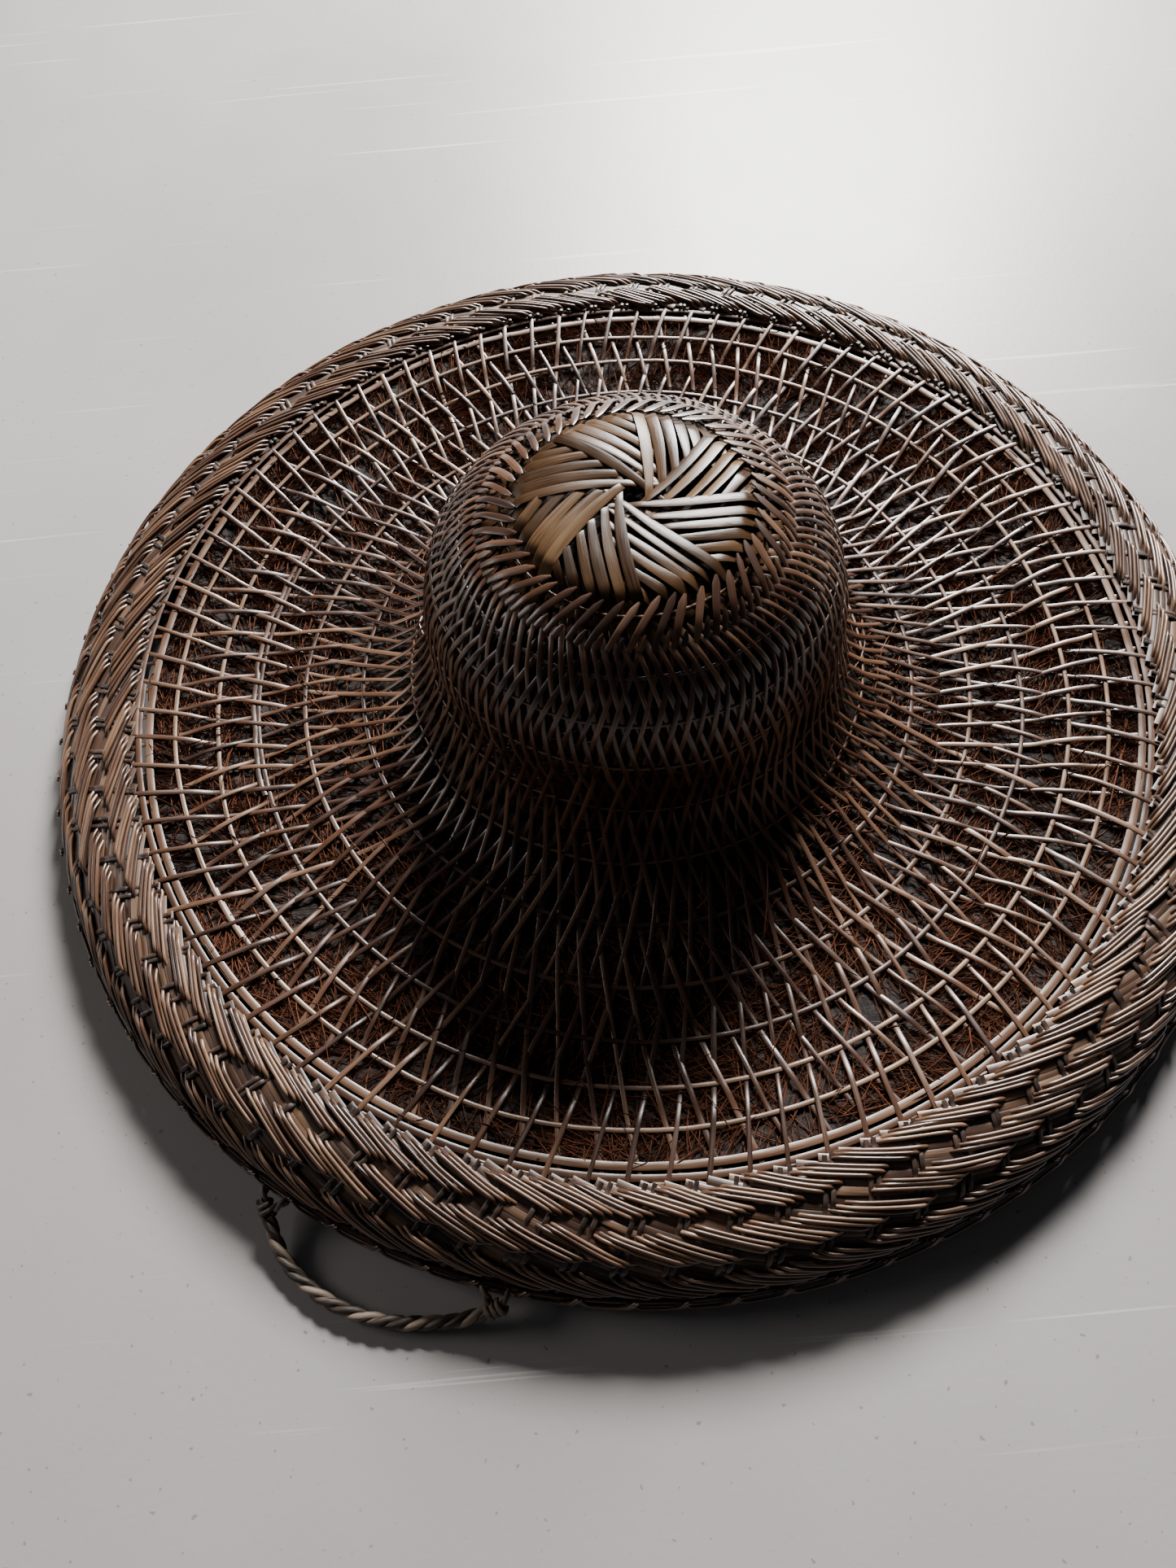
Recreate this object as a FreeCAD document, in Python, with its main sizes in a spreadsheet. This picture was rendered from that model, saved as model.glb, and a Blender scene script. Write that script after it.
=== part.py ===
"""Wide-brimmed woven bamboo hat with a palm-fibre lining, a plaited rim and a short cord loop.

Frame: +Z up along the axis of the crown, origin on the floor under the crown, millimetres.
The weave is laid on a surface of revolution whose outline runs from the crown centre, down the
crown and out along the brim. Every woven piece is placed by its distance along that outline and
by its lift, the height of its middle above it (negative towards the head).
"""
import FreeCAD, Part
import math
import os
import Sketcher
from FreeCAD import Placement, Rotation, Vector

SIZES = [
    # outline of the outer weave: the stations are the hoops, from the crown centre outwards
    ("crown_top_height", 129.0),
    ("crown_ring_radius", 50.0), ("crown_ring_height", 124.0),
    ("crown_hoop_1_radius", 69.0), ("crown_hoop_1_height", 113.0),
    ("crown_hoop_2_radius", 81.0), ("crown_hoop_2_height", 98.0),
    ("crown_hoop_3_radius", 87.0), ("crown_hoop_3_height", 78.0),
    ("crown_hoop_4_radius", 90.0), ("crown_hoop_4_height", 47.0),
    ("crown_hoop_5_radius", 103.0), ("crown_hoop_5_height", 24.0),
    ("brim_hoop_1_radius", 127.0), ("brim_hoop_1_height", 14.5),
    ("brim_hoop_2_radius", 153.0), ("brim_hoop_2_height", 13.5),
    ("brim_hoop_3_radius", 174.5), ("brim_hoop_3_height", 15.5),
    ("brim_hoop_4_radius", 193.5), ("brim_hoop_4_height", 18.5),
    ("brim_hoop_5_radius", 209.5), ("brim_hoop_5_height", 21.5),
    ("rim_inner_radius", 226.0), ("rim_inner_height", 24.0),
    ("splint_end_radius", 249.0), ("splint_end_height", 22.8),
    # outer weave
    ("splint_count", 96), ("splint_width", 2.4), ("splint_thickness", 0.8),
    ("splint_lift", 1.2), ("splint_swirl", 26.0), ("splint_start_radius", 63.0),
    ("hoop_width", 2.2), ("hoop_thickness", 0.9), ("crown_ring_width", 1.4),
    # pinwheel of wide strips on the crown top
    ("pinwheel_arms", 8), ("strips_per_arm", 6), ("strip_thickness", 0.45),
    ("strip_width", 4.6), ("strip_hole_width", 1.9), ("strip_lift", 3.3), ("strip_swirl", 4.0),
    ("strip_clearance", 0.2),
    ("pinwheel_hole_radius", 10.0), ("pinwheel_edge_radius", 79.0),
    # lining and inner weave
    ("lining_lift", -4.7), ("lining_thickness", 5.0), ("lining_seam", 0.4),
    ("lining_top_radius", 62.0), ("lining_shoulder_radius", 86.0), ("lining_wall_radius", 95.0),
    ("lining_dish_radius", 150.0), ("lining_edge_radius", 224.0),
    ("inner_count", 36), ("inner_width", 4.0), ("inner_thickness", 0.6),
    ("inner_lift", -8.8), ("inner_gap", 1.0), ("inner_swirl", 14.0), ("inner_start_radius", 30.0),
    # rim
    ("rim_core_radius", 246.0), ("rim_core_height", 13.2), ("rim_core_tilt", -10.0),
    ("rim_core_length", 16.0), ("rim_core_thickness", 13.6),
    ("border_count", 88), ("border_width", 4.8), ("border_thickness", 1.3), ("border_turn", 26.0),
    ("border_in_radius", 229.5), ("border_in_height", 27.4),
    ("border_top_radius", 240.0), ("border_top_height", 27.8),
    ("border_shoulder_radius", 254.0), ("border_shoulder_height", 24.6),
    ("border_out_radius", 263.8), ("border_out_height", 16.4),
    ("border_low_radius", 266.2), ("border_low_height", 8.2),
    ("rim_strip_width", 4.2), ("rim_strip_thickness", 1.2),
    ("upper_strip_radius", 222.0), ("upper_strip_lift", 0.0),
    ("lower_strip_radius", 228.0), ("lower_strip_lift", -3.0),
    ("base_hoop_radius", 264.5), ("base_hoop_width", 6.0), ("base_hoop_height", 3.0),
    ("lower_hoop_radius", 266.2), ("lower_hoop_height", 4.7), ("lower_hoop_thickness", 2.6),
    ("lacing_count", 72), ("lacing_bend_radius", 6.0), ("lacing_thickness", 1.6),
    ("lacing_radius", 269.2), ("lacing_height", 9.0), ("lacing_first_angle", -91.25),
    # cord loop
    ("cord_diameter", 5.5), ("knot_diameter", 6.4), ("knot_length", 7.0),
]

# The loop's cord lies on the floor in front of the rim: (x, y, z) of its bends, from knot to knot.
CORD_ROUTE = [
    (-160.6, -225.4, 8.0), (-158.1, -235.7, 4.6), (-151.4, -245.9, 3.0),
    (-140.8, -255.0, 3.0), (-127.7, -261.7, 3.0), (-113.6, -265.5, 3.0),
    (-100.2, -266.3, 3.0), (-88.6, -266.6, 4.4), (-78.9, -264.2, 7.6),
]
ARC_SHARE = 0.45          # of the shorter run beside a bend, taken up by the bend's arc
SPLINT_STEP = 9.0         # distance between the sections that a splint is lofted through
STRIP_STEP = 5.0          # the same for a pinwheel strip
BORDER_SECTIONS = 13

doc = FreeCAD.newDocument("conical_hat")
sheet = doc.addObject("Spreadsheet::Sheet", "Sizes")
for row, (alias, value) in enumerate(SIZES, start=1):
    sheet.set(f"A{row}", alias)
    sheet.set(f"B{row}", str(value))
    sheet.setAlias(f"B{row}", alias)
doc.recompute()

parts = []


def size(alias):
    return float(sheet.get(alias))


def keep(label, piece):
    """Name a finished sub-part, which also names its file."""
    piece.Label = label
    parts.append(piece)
    return piece


def keep_shape(label, shape):
    feature = doc.addObject("Part::Feature", label)
    feature.Shape = shape
    feature.Placement = Placement()
    return keep(label, feature)


def origin_feature(body, role):
    return next(f for f in body.Origin.OriginFeatures if f.Role == role)


# --- outline of the weave --------------------------------------------------------------------

def outline_through(names, first=None):
    points = [first] if first else []
    points += [Vector(size(f"{name}_radius"), 0, size(f"{name}_height")) for name in names]
    curve = Part.BSplineCurve()
    if first:
        curve.interpolate(Points=points, InitialTangent=Vector(1, 0, 0),
                          FinalTangent=(points[-1] - points[-2]).normalize())
    else:
        curve.interpolate(points)
    return curve


CROWN_HOOPS = [f"crown_hoop_{n}" for n in range(1, 6)]
BRIM_HOOPS = [f"brim_hoop_{n}" for n in range(1, 6)]
crown_centre = Vector(0, 0, size("crown_top_height"))
weave = outline_through(["crown_ring"] + CROWN_HOOPS + BRIM_HOOPS + ["rim_inner", "splint_end"],
                        first=crown_centre)
border = outline_through(["border_in", "border_top", "border_shoulder", "border_out",
                          "border_low"])


def at_radius(curve, radius):
    """Parameter at which an outline that runs outwards reaches a radius."""
    low, high = curve.FirstParameter, curve.LastParameter
    for _ in range(40):
        middle = (low + high) / 2
        if curve.value(middle).x < radius:
            low = middle
        else:
            high = middle
    return (low + high) / 2


def frame_at(curve, parameter):
    """Point, direction along the outline and outward normal, in the plane of +X and +Z."""
    along = curve.tangent(parameter)[0]
    return curve.value(parameter), along, Vector(-along.z, 0, along.x)


def evenly(curve, start, stop, step):
    """Parameters from start to stop, about a step apart along the outline."""
    length = curve.length(start, stop)
    count = max(2, round(length / step))
    return [curve.parameterAtDistance(length * n / count, start) for n in range(count + 1)]


# --- ribbons laid on the outline ---------------------------------------------------------------

def section(point, across, normal, width, thickness):
    """Closed rectangle around a point: one cross-section of a ribbon."""
    sides = [(-1, -1), (1, -1), (1, 1), (-1, 1), (-1, -1)]
    corners = [point + across * (a * width / 2) + normal * (b * thickness / 2) for a, b in sides]
    return Part.makePolygon(corners)


def ribbon(curve, parameters, angles, lift, width, thickness, tilt=lambda radius: 0.0):
    """Loft a flat strip over the surface of revolution through (outline place, angle) stations.

    width and tilt are functions of the radius; tilt turns the section about the strip's length.
    """
    middles = []
    for parameter, angle in zip(parameters, angles):
        point, along, normal = frame_at(curve, parameter)
        turn = Rotation(Vector(0, 0, 1), math.degrees(angle))
        middles.append((turn.multVec(point + normal * lift), turn.multVec(normal), point.x))
    wires = []
    for index, (point, normal, radius) in enumerate(middles):
        before = middles[max(index - 1, 0)][0]
        after = middles[min(index + 1, len(middles) - 1)][0]
        ahead = (after - before).normalize()
        across = normal.cross(ahead).normalize()
        lean = Rotation(ahead, tilt(radius))
        wires.append(section(point, lean.multVec(across), lean.multVec(across.cross(ahead) * -1),
                             width(radius), thickness))
    return Part.makeLoft(wires, True, False)


def swirl_angles(curve, parameters, swirl):
    """Angles of a strip laid straight over the surface, passing the axis at the swirl distance."""
    angles = [0.0]
    for before, after in zip(parameters, parameters[1:]):
        radius = (curve.value(before).x + curve.value(after).x) / 2
        step = curve.length(before, after)
        angles.append(angles[-1] + swirl * step / (radius * math.sqrt(radius**2 - swirl**2)))
    return angles


def around(solid, count, first=0.0, total=None):
    """Copies of a solid turned about the axis; total is the number that a full circle holds."""
    pitch = 360.0 / (total or count)
    copies = [solid.rotated(Vector(), Vector(0, 0, 1), first + pitch * n) for n in range(count)]
    return Part.makeCompound(copies)


def splint_family(label, sense, count, swirl, lift, width, thickness, start_radius, end_radius):
    parameters = evenly(weave, at_radius(weave, start_radius), at_radius(weave, end_radius),
                        SPLINT_STEP)
    angles = [sense * angle for angle in swirl_angles(weave, parameters, swirl)]
    strip = ribbon(weave, parameters, angles, lift, lambda radius: width, thickness)
    keep_shape(label, around(strip, int(count)))


def outer_splints():
    for label, sense in (("outer_splints_clockwise", -1), ("outer_splints_anticlockwise", 1)):
        splint_family(label, sense, size("splint_count"), size("splint_swirl"),
                      -sense * size("splint_lift"),
                      size("splint_width"), size("splint_thickness"),
                      size("splint_start_radius"), size("splint_end_radius"))


def inner_splints():
    gap = size("inner_gap")
    for label, sense in (("inner_splints_clockwise", -1), ("inner_splints_anticlockwise", 1)):
        splint_family(label, sense, size("inner_count"), size("inner_swirl"),
                      size("inner_lift") + sense * gap,
                      size("inner_width"), size("inner_thickness"),
                      size("inner_start_radius"), size("lining_edge_radius"))


def pinwheel():
    """Eight arms of shingled strips that turn out of the hole and bend over the crown's edge."""
    count = int(size("pinwheel_arms") * size("strips_per_arm"))
    thickness = size("strip_thickness")
    start = size("pinwheel_hole_radius")
    full_width = size("strip_width")
    flare = (full_width - size("strip_hole_width")) / (size("crown_ring_radius") - start)

    def width(radius):
        return min(full_width, size("strip_hole_width") + flare * (radius - start))

    def tilt(radius):
        """Slope of a shingled strip, enough to lie on the next one's edge."""
        lean = math.sqrt(1 - (size("strip_swirl") / radius) ** 2)
        pitch = 2 * math.pi * radius / count * lean
        return -math.degrees(math.asin((thickness + size("strip_clearance")) / pitch))

    parameters = evenly(weave, at_radius(weave, start), at_radius(
        weave, size("pinwheel_edge_radius")), STRIP_STEP)
    angles = swirl_angles(weave, parameters, size("strip_swirl"))
    strip = ribbon(weave, parameters, angles, size("strip_lift"), width, thickness, tilt)
    for arm in range(int(size("pinwheel_arms"))):
        first = 360.0 / size("pinwheel_arms") * arm
        keep_shape(f"pinwheel_arm_{arm + 1}",
                   around(strip, int(size("strips_per_arm")), first, count))


# --- pieces of revolution ----------------------------------------------------------------------

def ring_sketch(label, radius, height, tilt):
    """Body with an empty sketch on its XZ plane, centred on a ring's section."""
    body = doc.addObject("PartDesign::Body", label)
    sketch = body.newObject("Sketcher::SketchObject", f"{label}_section")
    sketch.AttachmentSupport = [(origin_feature(body, "XZ_Plane"), "")]
    sketch.MapMode = "FlatFace"
    sketch.AttachmentOffset = Placement(Vector(0, 0, 0), Rotation(Vector(0, 0, 1), tilt))
    sketch.setExpression("AttachmentOffset.Base.x", radius)
    sketch.setExpression("AttachmentOffset.Base.y", height)
    return body, sketch


def revolve(label, body, sketch):
    ring = body.newObject("PartDesign::Revolution", f"{label}_ring")
    ring.Profile = sketch
    ring.ReferenceAxis = (origin_feature(body, "Z_Axis"), [""])
    ring.Angle = 360.0
    return keep(label, body)


def flat_ring(label, radius, height, tilt, width, thickness):
    """Flat strip bent into a hoop; its sizes are expressions of the sheet."""
    body, sketch = ring_sketch(label, radius, height, tilt)
    corners = [Vector(-1, -0.5, 0), Vector(1, -0.5, 0), Vector(1, 0.5, 0), Vector(-1, 0.5, 0)]
    for corner, following in zip(corners, corners[1:] + corners[:1]):
        sketch.addGeometry(Part.LineSegment(corner, following), False)
    for side in range(4):
        sketch.addConstraint(Sketcher.Constraint("Coincident", side, 2, (side + 1) % 4, 1))
    for side, direction in ((0, "Horizontal"), (2, "Horizontal"), (1, "Vertical"),
                            (3, "Vertical")):
        sketch.addConstraint(Sketcher.Constraint(direction, side))
    sketch.addConstraint(Sketcher.Constraint("Symmetric", 0, 1, 2, 1, -1, 1))
    across = sketch.addConstraint(Sketcher.Constraint("DistanceX", 0, 1, 0, 2, 2.0))
    through = sketch.addConstraint(Sketcher.Constraint("DistanceY", 1, 1, 1, 2, 1.0))
    sketch.setExpression(f"Constraints[{across}]", width)
    sketch.setExpression(f"Constraints[{through}]", thickness)
    return revolve(label, body, sketch)


def slope_at(parameter):
    """Degrees by which the outline rises, seen in the plane of +X and +Z."""
    along = weave.tangent(parameter)[0]
    return math.degrees(math.atan2(along.z, along.x))


def weave_hoops():
    """Hoops between the two families of splints, and the thin ring round the pinwheel."""
    for name in ["crown_ring"] + CROWN_HOOPS + BRIM_HOOPS:
        slope = slope_at(at_radius(weave, size(f"{name}_radius")))
        width = "Sizes.crown_ring_width" if name == "crown_ring" else "Sizes.hoop_width"
        flat_ring(name, f"Sizes.{name}_radius", f"Sizes.{name}_height", slope, width,
                  "Sizes.hoop_thickness")


def inner_hoops():
    """Hoops between the two families of the inner weave, one inside every second outer hoop."""
    for number, name in enumerate(["crown_hoop_1", "crown_hoop_3", "crown_hoop_5",
                                   "brim_hoop_2", "brim_hoop_4"], start=1):
        parameter = at_radius(weave, size(f"{name}_radius"))
        normal = frame_at(weave, parameter)[2]
        flat_ring(f"inner_hoop_{number}",
                  f"Sizes.{name}_radius + Sizes.inner_lift * {normal.x:.5f}",
                  f"Sizes.{name}_height + Sizes.inner_lift * {normal.z:.5f}",
                  slope_at(parameter), "Sizes.hoop_width", "Sizes.hoop_thickness")


def lining_panel(label, start_radius, end_radius):
    """Ring of the palm-fibre mat between the weaves."""
    half = size("lining_thickness") / 2
    parameters = evenly(weave, at_radius(weave, start_radius), at_radius(weave, end_radius),
                        SPLINT_STEP)
    stations = [frame_at(weave, parameter) for parameter in parameters]
    faces = []
    for lift in (size("lining_lift") + half, size("lining_lift") - half):
        curve = Part.BSplineCurve()
        curve.interpolate([point + normal * lift for point, along, normal in stations])
        faces.append(curve)
    top, under = faces
    outline = Part.Wire([top.toShape(), Part.makeLine(top.EndPoint, under.EndPoint),
                         under.toShape(), Part.makeLine(under.StartPoint, top.StartPoint)])
    keep_shape(label, Part.Face(outline).revolve(Vector(), Vector(0, 0, 1), 360))


def lining():
    """The mat in five rings, each bent little enough to be hollow where the hat is."""
    start = 0.0
    for label, edge in (("crown_lining_top", "lining_top_radius"),
                        ("crown_lining_shoulder", "lining_shoulder_radius"),
                        ("crown_lining_wall", "lining_wall_radius"),
                        ("brim_lining_inner", "lining_dish_radius"),
                        ("brim_lining_outer", "lining_edge_radius")):
        lining_panel(label, start, size(edge))
        start = size(edge) + size("lining_seam")


# --- rim ---------------------------------------------------------------------------------------

def rim_core():
    """Roll of bast inside the rim: a round-ended section swept round the brim."""
    label = "rim_core"
    body, sketch = ring_sketch(label, "Sizes.rim_core_radius", "Sizes.rim_core_height",
                               size("rim_core_tilt"))
    reach, round_end = size("rim_core_length") / 2, size("rim_core_thickness") / 2
    right, left = Vector(reach, 0, 0), Vector(-reach, 0, 0)
    up = Vector(0, 0, 1)
    sketch.addGeometry(Part.LineSegment(left + Vector(0, round_end, 0),
                                        right + Vector(0, round_end, 0)), False)
    sketch.addGeometry(Part.LineSegment(left - Vector(0, round_end, 0),
                                        right - Vector(0, round_end, 0)), False)
    sketch.addGeometry(Part.ArcOfCircle(Part.Circle(right, up, round_end),
                                        -math.pi / 2, math.pi / 2), False)
    sketch.addGeometry(Part.ArcOfCircle(Part.Circle(left, up, round_end),
                                        math.pi / 2, 3 * math.pi / 2), False)
    for first, first_end, second, second_end in ((0, 2, 2, 2), (1, 2, 2, 1), (0, 1, 3, 1),
                                                 (1, 1, 3, 2)):
        sketch.addConstraint(Sketcher.Constraint("Tangent", first, first_end,
                                                 second, second_end))
    sketch.addConstraint(Sketcher.Constraint("Horizontal", 0))
    sketch.addConstraint(Sketcher.Constraint("Symmetric", 0, 1, 1, 2, -1, 1))
    length = sketch.addConstraint(Sketcher.Constraint("DistanceX", 0, 1, 0, 2, 2 * reach))
    height = sketch.addConstraint(Sketcher.Constraint("Radius", 2, round_end))
    sketch.setExpression(f"Constraints[{length}]", "Sizes.rim_core_length")
    sketch.setExpression(f"Constraints[{height}]", "Sizes.rim_core_thickness / 2")
    revolve(label, body, sketch)


def border_strands():
    """Plaited border: strands that run over the rim from its inner edge to its lower edge."""
    start, stop = border.FirstParameter, border.LastParameter
    length = border.length(start, stop)
    shares = [n / (BORDER_SECTIONS - 1) for n in range(BORDER_SECTIONS)]
    parameters = [border.parameterAtDistance(length * share, start) for share in shares]
    angles = [math.radians(size("border_turn")) * share for share in shares]
    strand = ribbon(border, parameters, angles, 0.0, lambda radius: size("border_width"),
                    size("border_thickness"))
    keep_shape("rim_border_strands", around(strand, int(size("border_count"))))


def rim_strips():
    """Two flat strips along the rim's inner edge, one between the splints and one under them."""
    for side in ("upper", "lower"):
        parameter = at_radius(weave, size(f"{side}_strip_radius"))
        point, along, normal = frame_at(weave, parameter)
        lift = f"Sizes.{side}_strip_lift"
        flat_ring(f"rim_inner_strip_{side}",
                  f"Sizes.{side}_strip_radius + {lift} * {normal.x:.5f}",
                  f"{point.z:.4f} + {lift} * {normal.z:.5f}", slope_at(parameter),
                  "Sizes.rim_strip_width", "Sizes.rim_strip_thickness")


def rim_hoops():
    """Flat hoop that the hat stands on, and the round one bound on above it."""
    flat_ring("rim_base_hoop", "Sizes.base_hoop_radius", "Sizes.base_hoop_height / 2", 0.0,
              "Sizes.base_hoop_width", "Sizes.base_hoop_height")
    lower = doc.addObject("Part::Torus", "rim_lower_hoop")
    lower.setExpression("Radius1", "Sizes.lower_hoop_radius")
    lower.setExpression("Radius2", "Sizes.lower_hoop_thickness / 2")
    lower.setExpression("Placement.Base.z", "Sizes.lower_hoop_height")
    keep("rim_lower_hoop", lower)


def rim_lacing():
    """Thin strands that dip round the lower hoops in a row of half rings."""
    bend, middle = size("lacing_bend_radius"), Vector(size("lacing_radius"), 0,
                                                      size("lacing_height"))
    left, dip, right = (middle + Vector(0, -bend, 0), middle + Vector(0, 0, -bend),
                        middle + Vector(0, bend, 0))
    path = Part.Wire(Part.Arc(left, dip, right).toShape())
    disc = Part.Wire(Part.makeCircle(size("lacing_thickness") / 2, left, Vector(0, 0, -1)))
    half_ring = path.makePipeShell([disc], True, True)
    keep_shape("rim_lacing", around(half_ring, int(size("lacing_count")),
                                    size("lacing_first_angle")))


# --- cord loop ---------------------------------------------------------------------------------

def rounded_path(points):
    """Straight runs joined by tangent arcs, each as large as its two runs allow."""
    edges = []
    start = points[0]
    radii = []
    for before, corner, after in zip(points, points[1:], points[2:]):
        toward, away = (before - corner), (after - corner)
        reach = ARC_SHARE * min(toward.Length, away.Length)
        turn = math.pi - toward.getAngle(away)
        radii.append(reach / math.tan(turn / 2))
        toward.normalize()
        away.normalize()
        first, last = corner + toward * reach, corner + away * reach
        bisector = (toward + away).normalize()
        centre = corner + bisector * (reach / math.sin(turn / 2) if turn else 0)
        middle = centre - bisector * radii[-1]
        edges.append(Part.LineSegment(start, first).toShape())
        edges.append(Part.Arc(first, middle, last).toShape())
        start = last
    edges.append(Part.LineSegment(start, points[-1]).toShape())
    print("cord bend radii:", ", ".join(f"{radius:.0f}" for radius in radii))
    return Part.Wire(edges)


def hanging_loop():
    """Stiff fibre cord tied into the rim at both ends, with the knot at each end."""
    points = [Vector(*point) for point in CORD_ROUTE]
    path = rounded_path(points)
    radius = size("cord_diameter") / 2
    start_direction = (points[1] - points[0]).normalize()
    end_direction = (points[-1] - points[-2]).normalize()
    disc = Part.Wire(Part.makeCircle(radius, points[0], start_direction))
    cord = path.makePipeShell([disc], True, True)
    print(f"cord length {path.Length:.1f} mm, volume ratio",
          round(cord.Volume / (math.pi * radius**2 * path.Length), 4))
    keep_shape("hanging_loop", cord)
    for label, face, outwards in (("loop_knot_left", points[0], start_direction * -1),
                                  ("loop_knot_right", points[-1], end_direction)):
        knot = doc.addObject("Part::Cylinder", label)
        knot.setExpression("Radius", "Sizes.knot_diameter / 2")
        knot.setExpression("Height", "Sizes.knot_length")
        knot.Placement = Placement(face, Rotation(Vector(0, 0, 1), outwards))
        keep(label, knot)


weave_hoops()
outer_splints()
pinwheel()
lining()
inner_splints()
inner_hoops()
rim_core()
rim_strips()
border_strands()
rim_hoops()
rim_lacing()
hanging_loop()

doc.recompute()
for item in doc.Objects:
    if "Invalid" in item.State or "Error" in item.State:
        raise RuntimeError(f"{item.Label} failed: {item.State}")
for piece in parts:
    if piece.Shape.isNull() or not piece.Shape.isValid():
        raise RuntimeError(f"{piece.Label} has no valid shape")

os.makedirs("parts", exist_ok=True)
for piece in parts:
    piece.Shape.exportStep(f"parts/{piece.Label}.step")
    box = piece.Shape.BoundBox
    print(f"{piece.Label}: {len(piece.Shape.Solids)} solids, "
          f"z {box.ZMin:.1f} to {box.ZMax:.1f}, x to {box.XMax:.1f}")
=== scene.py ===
"""The looks of the woven bamboo hat, in metres, in the frame of its CAD model.

Strips and strands are swept over two surfaces of revolution: the hat's weave, whose outline runs
through the CAD hoops, and the rim's plaited border. A place on either is a distance along the
outline from its inner end, an angle about the crown's axis and a lift above the surface.
"""
import math
import bpy
import numpy as np
from mathutils import Matrix, Vector


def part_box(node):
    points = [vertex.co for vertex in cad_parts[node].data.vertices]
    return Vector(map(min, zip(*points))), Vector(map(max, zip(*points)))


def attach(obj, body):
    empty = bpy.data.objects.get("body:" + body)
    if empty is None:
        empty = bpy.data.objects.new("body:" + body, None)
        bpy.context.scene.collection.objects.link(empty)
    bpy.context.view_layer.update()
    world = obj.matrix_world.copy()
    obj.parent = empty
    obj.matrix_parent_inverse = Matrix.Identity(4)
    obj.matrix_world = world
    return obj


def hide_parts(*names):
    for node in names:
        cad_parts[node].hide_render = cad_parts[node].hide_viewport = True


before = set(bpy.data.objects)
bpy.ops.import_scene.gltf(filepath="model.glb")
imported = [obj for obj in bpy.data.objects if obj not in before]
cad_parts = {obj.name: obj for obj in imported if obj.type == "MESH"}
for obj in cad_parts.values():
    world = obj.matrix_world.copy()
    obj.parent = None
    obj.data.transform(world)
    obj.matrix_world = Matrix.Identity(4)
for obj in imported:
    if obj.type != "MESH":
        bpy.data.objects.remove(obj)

MM = 0.001
OUTLINE_POINTS = 1500
DOME_POINTS = 700                   # of an outline's points, enough to reach past the pinwheel
MIX_COLOR_A, MIX_COLOR_B, MIX_COLOR_RESULT = 6, 7, 2    # a Mix node's sockets for colours
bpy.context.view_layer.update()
dice = np.random.default_rng(11)

# Cross-sections, in half widths and half thicknesses; the closing side is the underside.
FLAT = np.array([(1, -1), (1, 0.35), (0.6, 1), (-0.6, 1), (-1, 0.35), (-1, -1)])
ROUND = np.array([(math.cos(a), math.sin(a)) for a in np.arange(8) * math.pi / 4 - math.pi * 3 / 8])
THREAD = np.array([(math.cos(a), math.sin(a)) for a in np.arange(3) * math.pi * 2 / 3 - 0.5])


# --- surfaces that the strips lie on -----------------------------------------------------------

class Outline:
    """A smooth line through (radius, height) stations, read by the distance along it."""

    def __init__(self, stations, level_start=False):
        knots = np.array(stations, float)
        chord = np.concatenate([[0], np.cumsum(np.hypot(*np.diff(knots, axis=0).T))])
        slopes = np.gradient(knots, chord, axis=0)
        if level_start:
            slopes[0] = (1, 0)
        reach = np.linspace(0, chord[-1], OUTLINE_POINTS)
        span = np.clip(np.searchsorted(chord, reach, side="right") - 1, 0, len(chord) - 2)
        width = (chord[span + 1] - chord[span])[:, None]
        u = (reach - chord[span])[:, None] / width
        self.line = ((2 * u**3 - 3 * u**2 + 1) * knots[span]
                     + (u**3 - 2 * u**2 + u) * width * slopes[span]
                     + (3 * u**2 - 2 * u**3) * knots[span + 1]
                     + (u**3 - u**2) * width * slopes[span + 1])
        steps = np.hypot(*np.diff(self.line, axis=0).T)
        self.distance = np.concatenate([[0], np.cumsum(steps)])
        along = np.gradient(self.line, self.distance, axis=0)
        along /= np.linalg.norm(along, axis=1)[:, None]
        self.normal = np.stack([-along[:, 1], along[:, 0]], 1)
        self.length = self.distance[-1]

    def read(self, distance, values):
        """A value kept for each of the outline's points, read at a distance."""
        return np.interp(distance, self.distance, values)

    def at_radius(self, radius):
        """Distance at which the outline first reaches a radius."""
        first = np.argmax(self.line[:, 0] >= radius)
        return self.distance[first]

    def place(self, distance, angle, lift):
        """Points on the surface and their outward normals, one for each distance and angle."""
        distance, angle, lift = np.broadcast_arrays(distance, angle, lift)
        out = self.read(distance, self.normal[:, 0])
        up = self.read(distance, self.normal[:, 1])
        radius = self.read(distance, self.line[:, 0]) + lift * out
        height = self.read(distance, self.line[:, 1]) + lift * up
        points = np.stack([radius * np.cos(angle), radius * np.sin(angle), height], -1)
        normals = np.stack([out * np.cos(angle), out * np.sin(angle), up], -1)
        return points, normals


def station(node):
    """Radius and height of a CAD hoop's middle."""
    low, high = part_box(node)
    return high.x - 1.2 * MM, (low.z + high.z) / 2


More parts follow.
